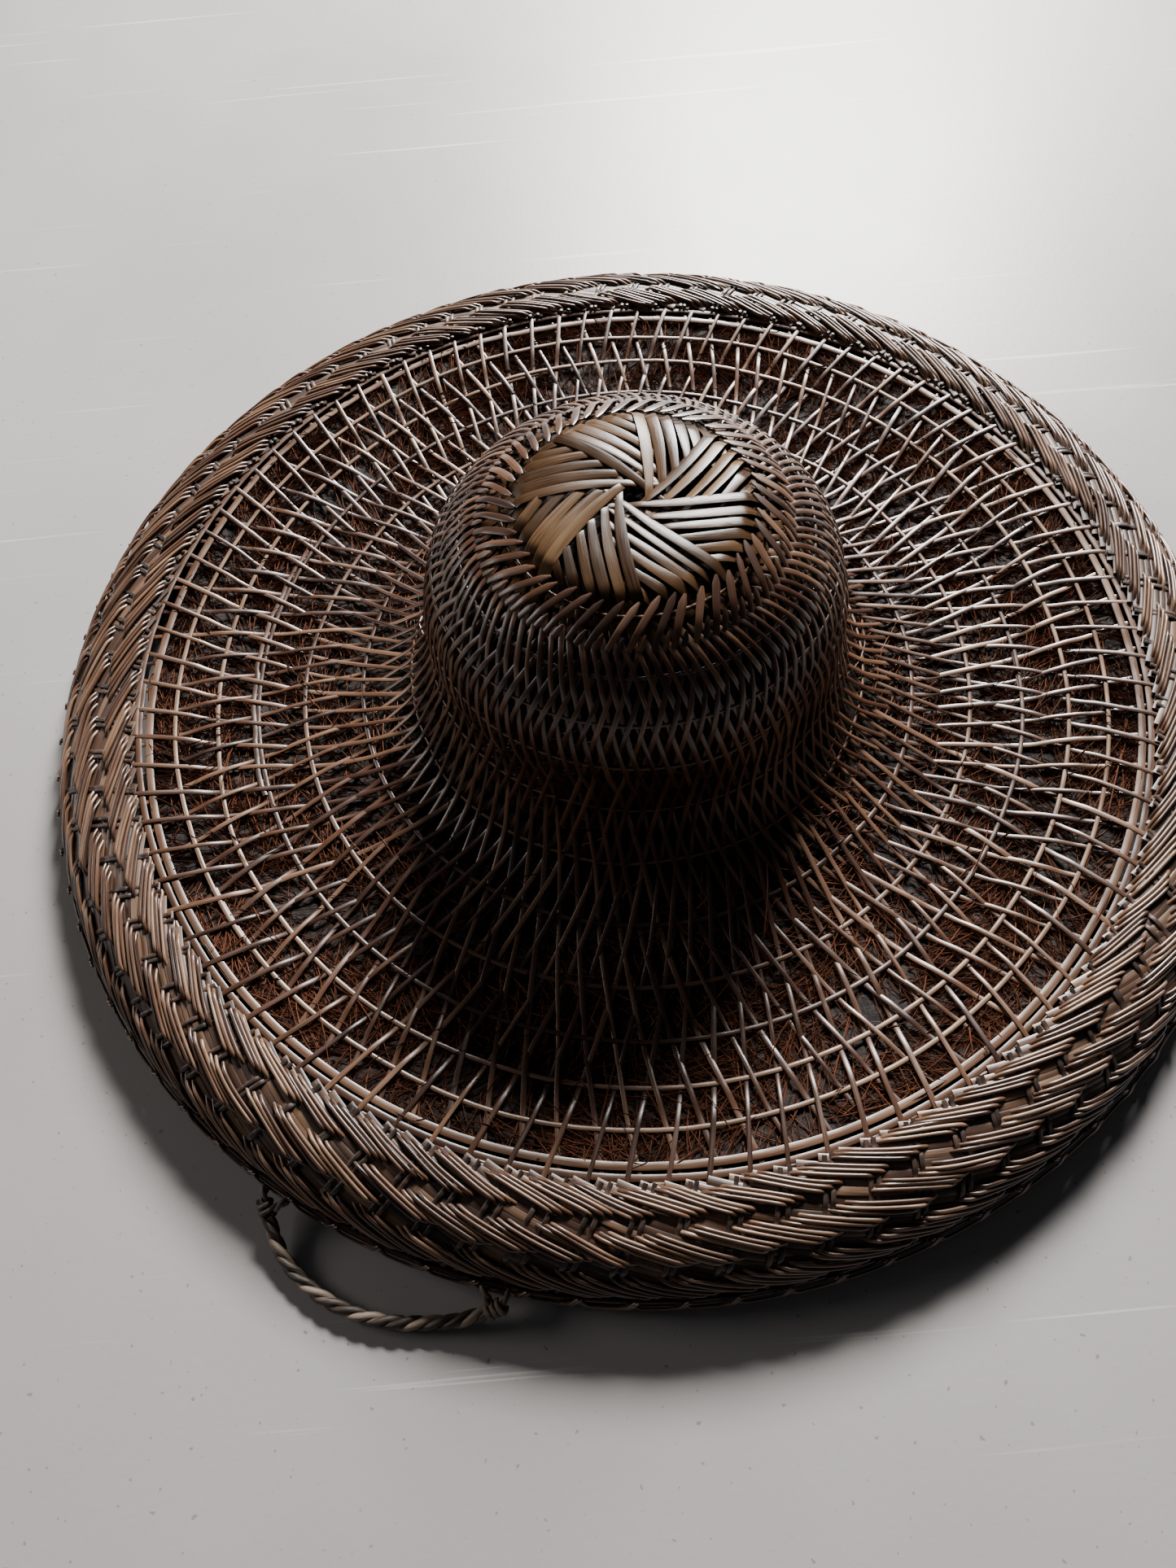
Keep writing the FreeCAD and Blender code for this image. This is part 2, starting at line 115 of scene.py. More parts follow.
CROWN_HOOPS = ["crown_ring"] + [f"crown_hoop_{n}" for n in range(1, 6)]
BRIM_HOOPS = [f"brim_hoop_{n}" for n in range(1, 6)]
HOOPS = CROWN_HOOPS + BRIM_HOOPS
ring_radius, ring_height = station("crown_ring")
rim_low, rim_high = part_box("rim_border_strands")
strip_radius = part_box("rim_inner_strip_upper")[1].x
weave = Outline([(0, ring_height + 5 * MM)] + [station(name) for name in HOOPS]
                + [(strip_radius, rim_high.z - 4.8 * MM),
                   (strip_radius + 14 * MM, rim_high.z - 4.9 * MM),
                   (strip_radius + 24 * MM, rim_high.z - 6.2 * MM)], level_start=True)
border = Outline([(rim_high.x - 38.5 * MM, rim_high.z - 2.6 * MM),
                  (rim_high.x - 27 * MM, rim_high.z - 1.6 * MM),
                  (rim_high.x - 13.5 * MM, rim_high.z - 5.0 * MM),
                  (rim_high.x - 4.4 * MM, rim_high.z - 12.6 * MM),
                  (rim_high.x - 1.9 * MM, rim_low.z + 3.0 * MM)])
hoop_distance = {name: weave.at_radius(station(name)[0]) for name in HOOPS}
ring_distance = hoop_distance["crown_ring"]
hoop_places = np.array([hoop_distance[name] for name in HOOPS])


def wander(count, sections, knots, amount):
    """Smooth random drift along each of several strips."""
    marks = dice.normal(0, amount, (count, knots))
    reach = np.linspace(0, knots - 1, sections)
    whole = np.clip(reach.astype(int), 0, knots - 2)
    part = reach - whole
    blend = part * part * (3 - 2 * part)
    return marks[:, whole] * (1 - blend) + marks[:, whole + 1] * blend


def ease(value, start, stop):
    """0 before start, 1 after stop and a smooth rise between."""
    part = np.clip((value - start) / (stop - start), 0, 1)
    return part * part * (3 - 2 * part)


# --- mesh making -------------------------------------------------------------------------------

def finish_piece(piece, material, nodes):
    """Gives a piece its material, puts it under the root body and hides the CAD nodes that it
    stands for.
    """
    piece.data.materials.append(material)
    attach(piece, "root")
    if nodes:
        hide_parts(*nodes)
    return piece


def mesh_piece(name, points, faces, place, material, slot, nodes=(), sharp=50):
    """A mesh object; place holds each vertex's (along, across, chance) for the materials."""
    mesh = bpy.data.meshes.new(name)
    mesh.from_pydata(points.tolist(), [], faces)
    mesh.update()
    store = mesh.attributes.new("strip_place", "FLOAT_VECTOR", "POINT")
    store.data.foreach_set("vector", place.astype(np.float32).ravel())
    mesh.shade_smooth()
    mesh.set_sharp_from_angle(angle=math.radians(sharp))
    piece = bpy.data.objects.new(name, mesh)
    bpy.context.scene.collection.objects.link(piece)
    return finish_piece(piece, material, nodes)


def unit(vectors):
    """Vectors scaled to length 1."""
    return vectors / np.maximum(np.linalg.norm(vectors, axis=-1, keepdims=True), 1e-12)


def sweep(points, normals, width, thickness, section):
    """Vertices, faces and material places of strips swept along rows of points."""
    count, sections = points.shape[:2]
    sides = len(section)
    ahead = unit(np.gradient(points, axis=1))
    across = unit(np.cross(normals, ahead))
    upright = np.cross(ahead, across)
    width = np.broadcast_to(width, (count, sections))[..., None, None]
    thickness = np.broadcast_to(thickness, (count, sections))[..., None, None]
    corners = (points[:, :, None] + across[:, :, None] * section[:, 0, None] * width / 2
               + upright[:, :, None] * section[:, 1, None] * thickness / 2)
    steps = np.linalg.norm(np.diff(points, axis=1), axis=2)
    along = np.concatenate([np.zeros((count, 1)), np.cumsum(steps, axis=1)], 1)
    place = np.empty((count, sections, sides, 3))
    place[..., 0] = along[..., None] + dice.uniform(0, 5, (count, 1, 1))
    place[..., 1] = section[:, 0] * width[..., 0] / 2
    place[..., 2] = dice.uniform(0, 1, (count, 1, 1))
    index = np.arange(count * sections * sides).reshape(count, sections, sides)
    here, beyond = index[:, :-1], index[:, 1:]
    quads = np.stack([here, np.roll(here, -1, 2), np.roll(beyond, -1, 2), beyond], -1)
    faces = quads.reshape(-1, 4).tolist()
    faces += index[:, 0, ::-1].tolist() + index[:, -1].tolist()
    return corners.reshape(-1, 3), faces, place.reshape(-1, 3)


def join(parts):
    """One set of vertices, faces and places out of several."""
    points, faces, places, start = [], [], [], 0
    for part_points, part_faces, part_places in parts:
        points.append(part_points)
        faces += [[corner + start for corner in face] for face in part_faces]
        places.append(part_places)
        start += len(part_points)
    return np.concatenate(points), faces, np.concatenate(places)


# --- materials ---------------------------------------------------------------------------------

class Nodes:
    """Short calls for building a material's node tree."""

    def __init__(self, name, specular=0.5):
        self.material = bpy.data.materials.new(name)
        self.material.use_nodes = True
        self.tree = self.material.node_tree
        self.shader = self.tree.nodes["Principled BSDF"]
        self.shader.inputs["Specular IOR Level"].default_value = specular

    def add(self, kind, **inputs):
        node = self.tree.nodes.new(kind)
        for name, value in inputs.items():
            self.set(node.inputs[name], value)
        return node

    def set(self, socket, value):
        if hasattr(value, "is_linked"):
            self.tree.links.new(value, socket)
        else:
            socket.default_value = value

    def strip_place(self):
        node = self.tree.nodes.new("ShaderNodeAttribute")
        node.attribute_name = "strip_place"
        return node.outputs["Vector"]

    def scaled(self, vector, scale):
        node = self.add("ShaderNodeMapping", Vector=vector)
        node.inputs["Scale"].default_value = scale
        return node.outputs["Vector"]

    def noise(self, vector, scale, detail=3.0, roughness=0.6):
        node = self.add("ShaderNodeTexNoise", Vector=vector, Scale=scale, Detail=detail,
                        Roughness=roughness)
        return node.outputs["Fac"]

    def ramp(self, factor, stops):
        node = self.add("ShaderNodeValToRGB", Fac=factor)
        elements = node.color_ramp.elements
        while len(elements) < len(stops):
            elements.new(0.5)
        for element, (position, color) in zip(elements, stops):
            element.position = position
            element.color = (*color, 1)
        return node.outputs["Color"]

    def rescale(self, value, low, high, to_low, to_high):
        node = self.add("ShaderNodeMapRange", Value=value)
        for name, number in (("From Min", low), ("From Max", high), ("To Min", to_low),
                             ("To Max", to_high)):
            node.inputs[name].default_value = number
        return node.outputs["Result"]

    def maths(self, operation, first, second):
        node = self.tree.nodes.new("ShaderNodeMath")
        node.operation = operation
        self.set(node.inputs[0], first)
        self.set(node.inputs[1], second)
        return node.outputs[0]

    def mix(self, factor, first, second, blend="MIX"):
        node = self.tree.nodes.new("ShaderNodeMix")
        node.data_type = "RGBA"
        node.blend_type = blend
        self.set(node.inputs["Factor"], factor)
        for socket, value in ((MIX_COLOR_A, first), (MIX_COLOR_B, second)):
            self.set(node.inputs[socket], (*value, 1) if isinstance(value, tuple) else value)
        return node.outputs[MIX_COLOR_RESULT]

    def bump(self, height, strength, distance):
        node = self.add("ShaderNodeBump", Height=height, Strength=strength, Distance=distance)
        self.tree.links.new(node.outputs["Normal"], self.shader.inputs["Normal"])

    def finish(self, color, roughness):
        self.set(self.shader.inputs["Base Color"], color)
        self.set(self.shader.inputs["Roughness"], roughness)
        return self.material


def bamboo(name, dark, middle, pale, polish, coat=0.1, shine=0.75):
    """Split bamboo: fine fibres, a chance colour for each strip, blotches and dark stretches."""
    nodes = Nodes(name, specular=shine)
    place = nodes.strip_place()
    fibres = nodes.noise(nodes.scaled(place, (60, 3500, 9)), 1.0, 3)
    blotches = nodes.noise(nodes.scaled(place, (28, 60, 40)), 1.0, 2)
    parts = nodes.add("ShaderNodeSeparateXYZ", Vector=place)
    chance = parts.outputs["Z"]
    tone = nodes.maths("ADD", nodes.maths("MULTIPLY", fibres, 0.4),
                       nodes.maths("MULTIPLY", blotches, 0.35))
    tone = nodes.maths("ADD", tone, nodes.maths("MULTIPLY", chance, 0.3))
    color = nodes.ramp(tone, [(0.3, dark), (0.55, middle), (0.82, pale)])
    stretches = nodes.noise(nodes.scaled(place, (9, 0.1, 3)), 1.0, 1)
    stain = nodes.rescale(stretches, 0.3, 0.5, 0.55, 1.0)
    color = nodes.mix(1.0, color, nodes.ramp(stain, [(0.0, (0, 0, 0)), (1.0, (1, 1, 1))]),
                      "MULTIPLY")
    roughness = nodes.rescale(nodes.maths("ADD", fibres, blotches), 0.6, 1.5, polish - 0.08,
                              polish + 0.2)
    nodes.bump(fibres, 0.22, 0.25 * MM)
    nodes.shader.inputs["Coat Weight"].default_value = coat
    nodes.shader.inputs["Coat Roughness"].default_value = 0.25
    return nodes.finish(color, roughness)


def fibre(name, dark, pale, roughness):
    """Coarse palm fibre: each strand has its own brown, with small light and dark stretches."""
    nodes = Nodes(name)
    place = nodes.strip_place()
    streaks = nodes.noise(nodes.scaled(place, (240, 4000, 30)), 1.0, 3)
    chance = nodes.add("ShaderNodeSeparateXYZ", Vector=place).outputs["Z"]
    tone = nodes.maths("ADD", nodes.maths("MULTIPLY", streaks, 0.5),
                       nodes.maths("MULTIPLY", chance, 0.5))
    color = nodes.ramp(tone, [(0.25, dark), (0.75, pale)])
    nodes.bump(streaks, 0.5, 0.2 * MM)
    return nodes.finish(color, nodes.rescale(streaks, 0.3, 0.7, roughness - 0.1,
                                             roughness + 0.15))


def felted(name, dark, pale):
    """The mat behind the loose fibres: dark, with criss-crossed fine threads in relief."""
    nodes = Nodes(name)
    where = nodes.add("ShaderNodeTexCoord").outputs["Object"]
    tangle = nodes.noise(nodes.scaled(where, (420, 90, 300)), 1.0, 5, 0.7)
    cross = nodes.noise(nodes.scaled(where, (90, 420, 300)), 1.0, 5, 0.7)
    threads = nodes.maths("MAXIMUM", tangle, cross)
    color = nodes.ramp(threads, [(0.45, dark), (0.75, pale)])
    nodes.bump(threads, 0.9, 1.2 * MM)
    return nodes.finish(color, nodes.rescale(threads, 0.4, 0.7, 0.95, 0.7))


def concrete():
    """Sealed pale floor: faint clouds, dark specks, hairline scratches and a soft sheen."""
    nodes = Nodes("floor_concrete")
    where = nodes.add("ShaderNodeTexCoord").outputs["Object"]
    clouds = nodes.noise(where, 2.2, 4)
    grain = nodes.noise(where, 260.0, 2)
    color = nodes.ramp(clouds, [(0.3, (0.35, 0.335, 0.33)), (0.7, (0.43, 0.42, 0.415))])
    specks = nodes.rescale(nodes.noise(where, 330.0, 1), 0.72, 0.76, 0.0, 0.6)
    color = nodes.mix(specks, color, (0.16, 0.15, 0.14))
    for turn, stretch in ((0.5, 60.0), (-0.75, 90.0)):
        turned = nodes.add("ShaderNodeMapping", Vector=where)
        turned.inputs["Rotation"].default_value = (0, 0, turn)
        turned.inputs["Scale"].default_value = (1.2, stretch, 1)
        scratch = nodes.rescale(nodes.noise(turned.outputs["Vector"], 2.0, 3), 0.67, 0.71, 0, 0.6)
        color = nodes.mix(scratch, color, (0.72, 0.71, 0.70))
    nodes.bump(grain, 0.12, 0.4 * MM)
    return nodes.finish(color, nodes.rescale(clouds, 0.3, 0.7, 0.36, 0.48))


splint_bamboo = bamboo("splint_bamboo", (0.020, 0.007, 0.004), (0.078, 0.032, 0.016),
                       (0.26, 0.145, 0.082), 0.30)
hoop_bamboo = bamboo("hoop_bamboo", (0.034, 0.013, 0.007), (0.105, 0.050, 0.027),
                     (0.29, 0.175, 0.105), 0.34)
crown_bamboo = bamboo("crown_strip_bamboo", (0.016, 0.007, 0.003), (0.078, 0.040, 0.018),
                      (0.24, 0.145, 0.070), 0.26, coat=0.0, shine=0.22)
rim_bamboo = bamboo("rim_bamboo", (0.028, 0.011, 0.006), (0.115, 0.054, 0.029),
                    (0.35, 0.215, 0.130), 0.30)
backing_bamboo = bamboo("rim_backing_bamboo", (0.014, 0.006, 0.004), (0.070, 0.034, 0.019),
                        (0.28, 0.17, 0.10), 0.38)
stake_bamboo = bamboo("stake_bamboo", (0.010, 0.005, 0.003), (0.032, 0.015, 0.009),
                      (0.10, 0.052, 0.032), 0.45)
inner_bamboo = bamboo("inner_splint_bamboo", (0.07, 0.035, 0.018), (0.17, 0.10, 0.055),
                      (0.32, 0.21, 0.13), 0.5)
palm_fibre = fibre("palm_fibre", (0.012, 0.005, 0.002), (0.23, 0.090, 0.050), 0.32)
palm_mat = felted("palm_fibre_mat", (0.003, 0.0015, 0.001), (0.030, 0.013, 0.008))
cord_fibre = fibre("cord_fibre", (0.025, 0.017, 0.012), (0.24, 0.18, 0.135), 0.5)


# --- outer weave -------------------------------------------------------------------------------

SPLINTS = 96                        # in each of the two slanting families
SPLINT_SECTIONS = 110
SPLINT_THICKNESS = 0.55 * MM
WEAVE_SWING = 0.75 * MM             # how far a splint rises or sinks where it passes a hoop
CROWN_HOOP_WIDTH, BRIM_HOOP_WIDTH = 1.3 * MM, 1.75 * MM
HOOP_THICKNESS = 0.7 * MM


def lean(distance):
    """Slant of the splints from straight down: steep over the crown's edge, then easy."""
    return math.radians(12.5) + math.radians(27) * np.exp(-np.maximum(
        distance - ring_distance + 4 * MM, 0) / (17 * MM))


def sweep_angle(distance):
    """Angle that a splint has gone round by, from the crown ring to a distance."""
    reach = weave.distance
    radius = np.maximum(weave.line[:, 0], 20 * MM)
    rate = np.tan(lean(reach)) / radius
    total = np.concatenate([[0], np.cumsum((rate[1:] + rate[:-1]) / 2 * np.diff(reach))])
    return np.interp(distance, reach, total) - np.interp(ring_distance, reach, total)


def over_under(distance):
    """1 where the clockwise family is on top, -1 where it is underneath: it swaps each hoop."""
    count = np.interp(distance, hoop_places, np.arange(len(hoop_places)))
    return np.clip(1.5 * np.cos(math.pi * count), -1, 1)


def splint_family(name, sense, node, starts):
    """Splints from the crown's edge to the rim; starts holds the even and the odd ones' starts."""
    number = np.arange(SPLINTS)[:, None]
    start = np.where(number % 2 == 0, *starts) + dice.uniform(-1.2, 1.2, (SPLINTS, 1)) * MM
    share = np.linspace(0, 1, SPLINT_SECTIONS)[None] ** 1.15
    reach = start + (weave.length - 1 * MM - start) * share
    radius = weave.read(reach, weave.line[:, 0])
    angle = number * 2 * math.pi / SPLINTS + sense * sweep_angle(reach)
    angle = angle + wander(SPLINTS, SPLINT_SECTIONS, 9, 0.45 * MM) / radius
    lift = -sense * over_under(reach) * WEAVE_SWING
    lift = lift + wander(SPLINTS, SPLINT_SECTIONS, 14, 0.14 * MM)
    on_crown = 1 - ease(reach, ring_distance + 6 * MM, ring_distance + 17 * MM)
    lift = lift + on_crown * (0.9 if sense < 0 else -0.5) * MM
    width = (2.9 - 0.95 * ease(radius, ring_radius, ring_radius + 18 * MM)) * MM
    width = width * dice.uniform(0.84, 1.12, (SPLINTS, 1))
    width = width * (0.35 + 0.65 * ease(reach - start, 0, 2.6 * MM))
    points, normals = weave.place(reach, angle, lift)
    mesh_piece(name, *sweep(points, normals, width, SPLINT_THICKNESS, FLAT), splint_bamboo,
               "outer_splint_bamboo", [node])


def woven_hoop(name, node, distance, width, thickness, material, slot, first, lift=0.0, turns=1.02,
               sections=420):
    """A flat strip bent right round with its ends lapped, waving a little as the splints push."""
    turn = np.linspace(0, 2 * math.pi * turns, sections)[None]
    drift = wander(1, sections, 26, 0.35 * MM)
    shift = distance + drift + np.linspace(-0.5, 0.5, sections) * 1.2 * MM * (turns > 1)
    height = lift + np.sin(turn * SPLINTS) * 0.12 * MM + np.linspace(-0.3, 0.3, sections) * MM
    points, normals = weave.place(shift, turn + first, height)
    mesh_piece(name, *sweep(points, normals, width, thickness, FLAT), material, slot,
               [node] if node else ())


def hoops():
    """The hoops of crown and brim, with a short splice laid beside the brim's third."""
    for number, node in enumerate(CROWN_HOOPS):
        material = crown_bamboo if number == 0 else hoop_bamboo
        woven_hoop(f"{node}_strip", node, hoop_distance[node], CROWN_HOOP_WIDTH, HOOP_THICKNESS,
                   material, "outer_splint_bamboo", 1.7 * number)
    for number, node in enumerate(BRIM_HOOPS):
        woven_hoop(f"{node}_strip", node, hoop_distance[node], BRIM_HOOP_WIDTH, HOOP_THICKNESS,
                   hoop_bamboo, "outer_splint_bamboo", 2.3 + 1.9 * number)
    woven_hoop("brim_hoop_3_splice", None, hoop_distance["brim_hoop_3"] + 2.4 * MM, 2.0 * MM,
               0.6 * MM, hoop_bamboo, "outer_splint_bamboo", math.radians(150), turns=0.13,
               sections=60)


# --- pinwheel on the crown ---------------------------------------------------------------------

ARMS, STRIPS = 8, 7
HOLE_OFFSET = 5.4 * MM              # from the axis to the middle of an arm's first strip
STRIP_PITCH = 5.0 * MM
STRIP_THICKNESS = 0.5 * MM
FIRST_ARM = math.radians(-52)       # heading of the first arm about the crown's axis


def pinwheel():
    """Arms of parallel strips past the hole, each arm lying over the one before it."""
    overlap = 7 * MM
    sections = 46
    for arm in range(ARMS):
        heading = FIRST_ARM + arm * 2 * math.pi / ARMS
        number = np.arange(STRIPS)[:, None]
        aside = HOLE_OFFSET + number * STRIP_PITCH + dice.normal(0, 0.25 * MM, (STRIPS, 1))
        emerge = number * STRIP_PITCH - (math.sqrt(2) - 1) * HOLE_OFFSET
        stop = np.sqrt((ring_radius + 8 * MM) ** 2 - aside**2) \
            + dice.uniform(-2, 2, (STRIPS, 1)) * MM
        share = np.linspace(0, 1, sections)[None]
        reach = emerge - overlap + (stop - emerge + overlap) * share
        bend = dice.uniform(2.4, 4.2)
        offset = aside - bend * np.clip(reach, 0, None) ** 2
        radius = np.hypot(reach, offset)
        angle = heading - np.arctan2(offset, reach)
        dome = np.interp(radius, weave.line[:DOME_POINTS, 0], weave.distance[:DOME_POINTS])
        lift = 1.1 * MM + 0.9 * MM * ease(reach, emerge - 2 * MM, emerge + 6 * MM)
        lift = lift + 0.35 * MM * (number == 0) - 0.1 * MM * number
        lift = lift + wander(STRIPS, sections, 4, 0.16 * MM)
        lift = lift - 2.9 * MM * ease(radius, ring_radius - 9 * MM, ring_radius - 1 * MM)
        points, normals = weave.place(dome, angle, lift)
        side = unit(np.cross(normals, np.gradient(points, axis=1)))
        normals = normals + side * dice.normal(0.10, 0.13, (STRIPS, 1, 1))
        width = STRIP_PITCH * 0.93 * dice.uniform(0.88, 1.05, (STRIPS, 1))
        width = width * (0.58 + 0.42 * ease(reach - emerge, -4 * MM, 26 * MM))
        mesh_piece(f"pinwheel_arm_{arm + 1}_strips",
                   *sweep(points, normals, width, STRIP_THICKNESS, FLAT), crown_bamboo,
                   "crown_strip_bamboo", [f"pinwheel_arm_{arm + 1}"])


# --- lining and inner weave --------------------------------------------------------------------

LINING_TOP, LINING_UNDER = -2.3 * MM, -7.0 * MM
INNER_LIFT = -8.6 * MM              # of the inner weave, under the lining
INNER_SPLINTS = 36                  # in each of its two slanting families
INNER_HOOP_OVER = ["crown_hoop_1", "crown_hoop_3", "crown_hoop_5", "brim_hoop_2", "brim_hoop_4"]
LINING_RINGS = ["crown_lining_top", "crown_lining_shoulder", "crown_lining_wall",
                "brim_lining_inner", "brim_lining_outer"]


def lining(name, node, start, stop, rings, spokes):
    """Closed mat between the weaves, its faces lumpy with the fibre in it."""
    down = np.linspace(start, stop, rings)
    there = np.concatenate([down, down[::-1]])
    depth = np.concatenate([np.full(rings, LINING_TOP), np.full(rings, LINING_UNDER)])
    turn = np.linspace(0, 2 * math.pi, spokes, endpoint=False)
    lumps = dice.normal(0, 0.28 * MM, (spokes, 2 * rings))
    points = weave.place(there[None], turn[:, None], depth[None] + lumps)[0].reshape(-1, 3)
    index = np.arange(spokes * 2 * rings).reshape(spokes, 2 * rings)
    quads = np.stack([index, np.roll(index, -1, 1), np.roll(np.roll(index, -1, 0), -1, 1),
                      np.roll(index, -1, 0)], -1)
    faces = quads.reshape(-1, 4)[:, ::-1].tolist()
    mesh_piece(name, points, faces, np.zeros((len(points), 3)), palm_mat, "palm_fibre", [node],
               sharp=180)


def loose_fibres(count, start, stop, lift, spread, bunches):
    """Single palm fibres that lie in rough bunches over a face of the lining."""
    sections = 6
    from_here = start + (stop - start) * np.sqrt(dice.uniform(0, 1, (count, 1)))
    first = dice.uniform(0, 2 * math.pi, (count, 1))
    bunch = np.sin(first * bunches + from_here * 90) * 1.3 + np.sin(first * 23) * 0.5
    heading = bunch + dice.normal(0, 0.45, (count, 1))
    length = dice.uniform(12, 42, (count, 1)) * MM
    bend = dice.normal(0, 0.5, (count, 1))
    share = np.linspace(0, 1, sections)[None]
    course = heading + bend * share
    step = length / (sections - 1)
    down = np.cumsum(np.cos(course) * step, axis=1)
    sideways = np.cumsum(np.sin(course) * step, axis=1)
    reach = np.clip(from_here + down, start, stop)
    radius = weave.read(reach, weave.line[:, 0])
    arch = spread * np.sin(share * math.pi) * np.abs(dice.normal(0, 1, (count, 1)))
    height = lift + arch + dice.uniform(-0.2, 0.2, (count, 1)) * MM
    points, normals = weave.place(reach, first + sideways / radius, height)
    thickness = dice.uniform(0.28, 0.62, (count, 1)) * MM
    return sweep(points, normals, thickness, thickness, THREAD)


def lining_and_fibres():
    """The mat's rings and the loose fibres on its two faces."""
    edge = weave.at_radius(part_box("brim_lining_outer")[1].x - 1 * MM)
    seams = [2 * MM] + [weave.at_radius(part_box(ring)[1].x) for ring in LINING_RINGS[:-1]]
    for ring, start, stop in zip(LINING_RINGS, seams, seams[1:] + [edge]):
        lining(f"{ring}_mat", ring, start, stop - 0.3 * MM, max(8, int((stop - start) / (2 * MM))),
               420 if ring.startswith("brim") else 220)
    mesh_piece("brim_fibres", *loose_fibres(10000, seams[3], edge - 1 * MM, LINING_TOP
                                            + 0.5 * MM, 1.1 * MM, 9),
               palm_fibre, "palm_fibre")
    mesh_piece("crown_fibres", *loose_fibres(3500, ring_distance, seams[3], LINING_TOP
                                             + 0.3 * MM, 0.5 * MM, 7),
               palm_fibre, "palm_fibre")
    mesh_piece("underside_fibres", *loose_fibres(4000, ring_distance, edge - 2 * MM,
                                                 LINING_UNDER - 0.3 * MM, -0.25 * MM, 8),
               palm_fibre, "palm_fibre")


def inner_weave():
    """Sparser weave of wide splints that holds the lining on the head's side."""
    count, sections = INNER_SPLINTS, 80
    start = weave.at_radius(30 * MM)
    edge = weave.at_radius(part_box("brim_lining_outer")[1].x - 1 * MM)
    reach = np.linspace(start, edge, sections)[None]
    for sense, word in ((-1, "clockwise"), (1, "anticlockwise")):
        first = np.arange(count)[:, None] * 2 * math.pi / count
        radius = weave.read(reach, weave.line[:, 0])
        angle = first + sense * sweep_angle(reach)
        angle = angle + wander(count, sections, 7, 0.5 * MM) / radius
        lift = INNER_LIFT - sense * over_under(reach) * 0.8 * MM
        points, normals = weave.place(reach, angle, lift)
        width = np.minimum(4.0 * MM, radius * 2 * math.pi / count * 0.8)
        mesh_piece(f"inner_splints_{word}_woven",
                   *sweep(points, -normals, width, 0.6 * MM, FLAT), inner_bamboo,
                   "inner_splint_bamboo", [f"inner_splints_{word}"])
    for number, outer in enumerate(INNER_HOOP_OVER, 1):
        node = f"inner_hoop_{number}"
        woven_hoop(f"{node}_strip", node, hoop_distance[outer], 2.6 * MM, HOOP_THICKNESS,
                   inner_bamboo, "inner_splint_bamboo", number * 1.3, lift=INNER_LIFT,
                   sections=240)


# --- rim ---------------------------------------------------------------------------------------

BUNDLES = 88
BUNDLE_PITCH = 2 * math.pi / BUNDLES
ROWS = 3
BORDER_TURN = math.radians(31)      # how far round the hat a bundle goes as it crosses the rim
STRAND = 1.55 * MM
BACKING_LIFT = -0.5 * MM


def row_rise(share):
    """1 in the rows where the bundles lie on top, 0 in the gaps where they pass underneath."""
    phase = (share * ROWS) % 1.0
    return ease(phase, 0.0, 0.20) * (1 - ease(phase, 0.70, 0.84))


def border_bundles():
    """Bundles of three strands that slant over the rim and dive under the strips between rows."""
    sections = 84
    share = np.linspace(0, 1, sections)[None]
    first = np.arange(BUNDLES)[:, None] * BUNDLE_PITCH
    sway = wander(BUNDLES, sections, 6, 0.6 * MM)
    swell = 1 + wander(BUNDLES, sections, 5, 0.08)
    stagger = dice.normal(0, 0.018, (BUNDLES, 1))
    made = []
    for strand in (-1, 0, 1):
        reach = share * border.length + sway
        radius = border.read(reach, border.line[:, 0])
        slant = math.atan2(border.length, BORDER_TURN * rim_high.x)
        aside = strand * STRAND * 1.02 * swell
        angle = first + BORDER_TURN * share - aside * math.sin(slant) / radius
        down = reach + aside * math.cos(slant)
        level = row_rise(np.clip(share + stagger + 0.6 * aside / border.length, 0, 0.999))
        lift = (-2.1 + 3.5 * level) * MM + wander(BUNDLES, sections, 8, 0.2 * MM)
        lift = lift + 0.3 * MM * (strand == 0)
        points, normals = border.place(np.clip(down, 0, border.length), angle, lift)
        width = STRAND * dice.uniform(0.85, 1.1, (BUNDLES, 1))
        made.append(sweep(points, normals, width, 1.35 * MM, ROUND))
    mesh_piece("rim_border_plait", *join(made), rim_bamboo, "rim_bamboo", ["rim_border_strands"],
               sharp=80)


def border_backing():
    """Flat strips beside each other under the plait, seen between its rows."""
    sections = 40
    share = np.linspace(0, 1, sections)[None]
    made = []
    for strip in (0.25, 0.75):
        first = (np.arange(BUNDLES)[:, None] + strip) * BUNDLE_PITCH
        angle = first + BORDER_TURN * share + wander(BUNDLES, sections, 5, 0.3 * MM) / rim_high.x
        lift = BACKING_LIFT + wander(BUNDLES, sections, 6, 0.25 * MM)
        points, normals = border.place(share * border.length, angle, lift)
        width = 3.2 * MM * dice.uniform(0.75, 1.05, (BUNDLES, 1))
        made.append(sweep(points, normals, width, 0.7 * MM, FLAT))
    mesh_piece("rim_backing_strips", *join(made), backing_bamboo, "rim_bamboo")


def border_stakes():
    """Ends of the splints, in pairs, that cross over the flat strips between the rows."""
    sections = 60
    share = np.linspace(0, 1, sections)[None]
    made = []
    for beside in (-1.7, 1.7):
        first = np.arange(BUNDLES)[:, None] * BUNDLE_PITCH
        first = first + dice.normal(0, 0.9 * MM, (BUNDLES, 1)) / rim_high.x
        angle = first + beside * MM / rim_high.x + math.radians(-4) * share
        lift = BACKING_LIFT + (1.1 - 0.7 * row_rise(share)) * MM
        points, normals = border.place(share * border.length, angle, lift)
        made.append(sweep(points, normals, 1.8 * MM, 0.6 * MM, FLAT))
    mesh_piece("rim_stakes", *join(made), stake_bamboo, "rim_bamboo")


